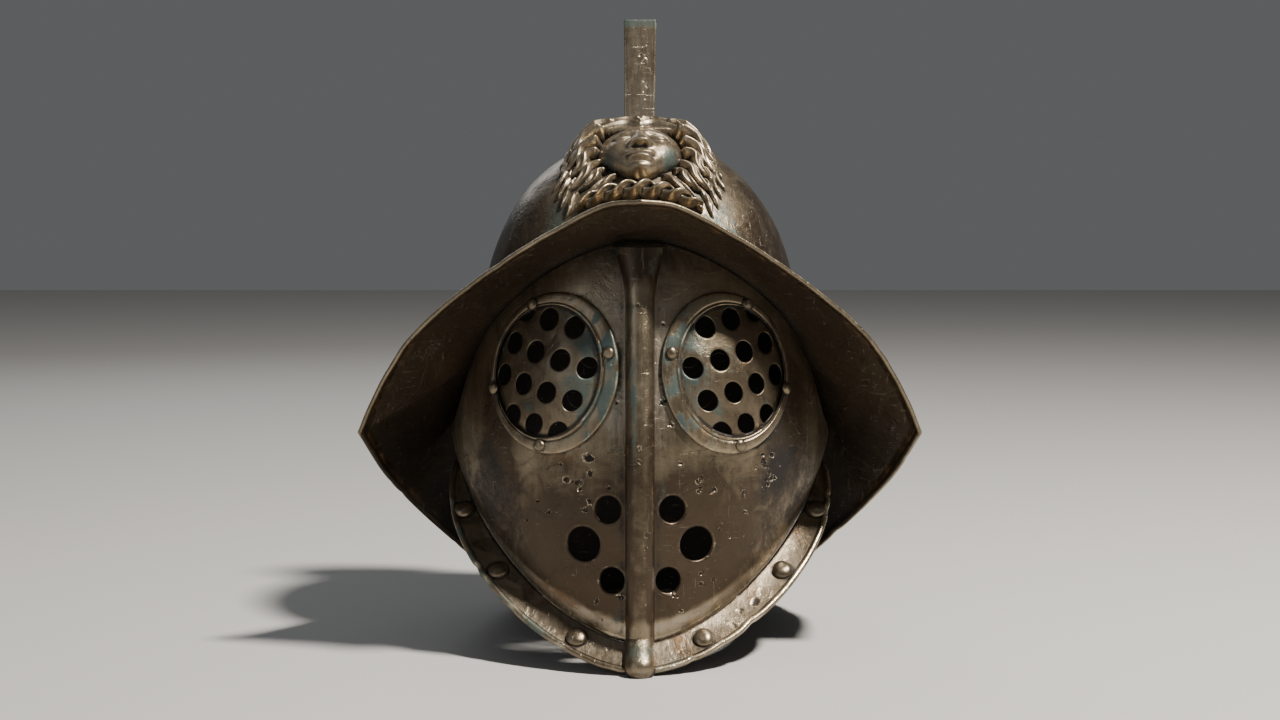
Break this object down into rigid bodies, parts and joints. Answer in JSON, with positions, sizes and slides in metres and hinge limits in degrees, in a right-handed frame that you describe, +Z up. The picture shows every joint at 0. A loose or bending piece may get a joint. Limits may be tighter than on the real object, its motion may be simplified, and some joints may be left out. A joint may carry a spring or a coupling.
{
  "type": "gladiator helmet",
  "caption": "Broad-brimmed bronze gladiator helmet with crest, face emblem, nose ridge and pierced eye grilles in a fixed visor.",
  "frame": {"origin": "on the ground under the middle of the helmet's box, where it stands on the foot of the nose ridge and the edge of the nape", "axes": "+Z up, the face looks along -Y, +X is the wearer's left"},
  "size_m": [0.4, 0.312, 0.459],
  "materials": {
    "weathered_bronze": "aged, brushed and tarnished sheet bronze",
    "worn_bronze": "aged bronze with bright worn edges and green patina",
    "cast_bronze": "cast bronze with dark hollows and green patina",
    "dark_bronze": "dark green-brown tarnished bronze",
    "rivet_bronze": "dull hammered bronze"
  },
  "bodies": {
    "root": {"bowl": "weathered_bronze", "crest": "weathered_bronze", "face_emblem": "cast_bronze", "visor": "weathered_bronze", "nose_ridge": "worn_bronze", "chin_flange": "worn_bronze", "eye_ring_left": "worn_bronze", "eye_ring_right": "worn_bronze", "eye_grille_left": "dark_bronze", "eye_grille_right": "dark_bronze", "ring_rivet_left_1": "rivet_bronze", "ring_rivet_left_2": "rivet_bronze", "ring_rivet_left_3": "rivet_bronze", "ring_rivet_left_4": "rivet_bronze", "ring_rivet_right_1": "rivet_bronze", "ring_rivet_right_2": "rivet_bronze", "ring_rivet_right_3": "rivet_bronze", "ring_rivet_right_4": "rivet_bronze", "flange_rivet_left_1": "rivet_bronze", "flange_rivet_left_2": "rivet_bronze", "flange_rivet_left_3": "rivet_bronze", "flange_rivet_right_1": "rivet_bronze", "flange_rivet_right_2": "rivet_bronze", "flange_rivet_right_3": "rivet_bronze"}
  },
  "joints": []
}
